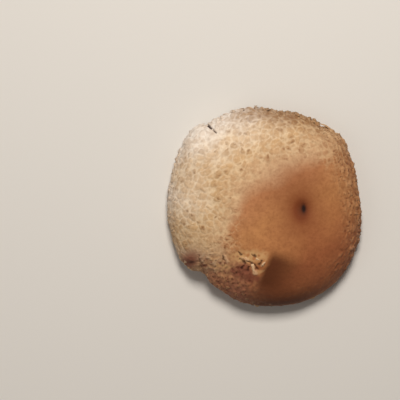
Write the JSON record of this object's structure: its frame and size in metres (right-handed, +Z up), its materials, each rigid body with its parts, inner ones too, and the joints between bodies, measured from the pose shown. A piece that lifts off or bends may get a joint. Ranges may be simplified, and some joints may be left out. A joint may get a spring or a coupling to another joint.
{
  "type": "portobello mushroom",
  "caption": "Trimmed portobello mushroom cap resting gills down: broad scaly dome, curled margin with a folded bay, gills and a cut stem stub beneath.",
  "frame": {"origin": "on the surface the mushroom rests on, under the middle of its outline", "axes": "+Z up from the gills to the crown, +Y along the cap's longest width, +X towards the side of the cap with the sunken middle"},
  "size_m": [0.106, 0.1082, 0.0301],
  "materials": {
    "cap_skin": "matte",
    "gills": "matte",
    "stem_flesh": "matte"
  },
  "bodies": {
    "root": {"portobello_mushroom": "cap_skin"}
  },
  "joints": []
}
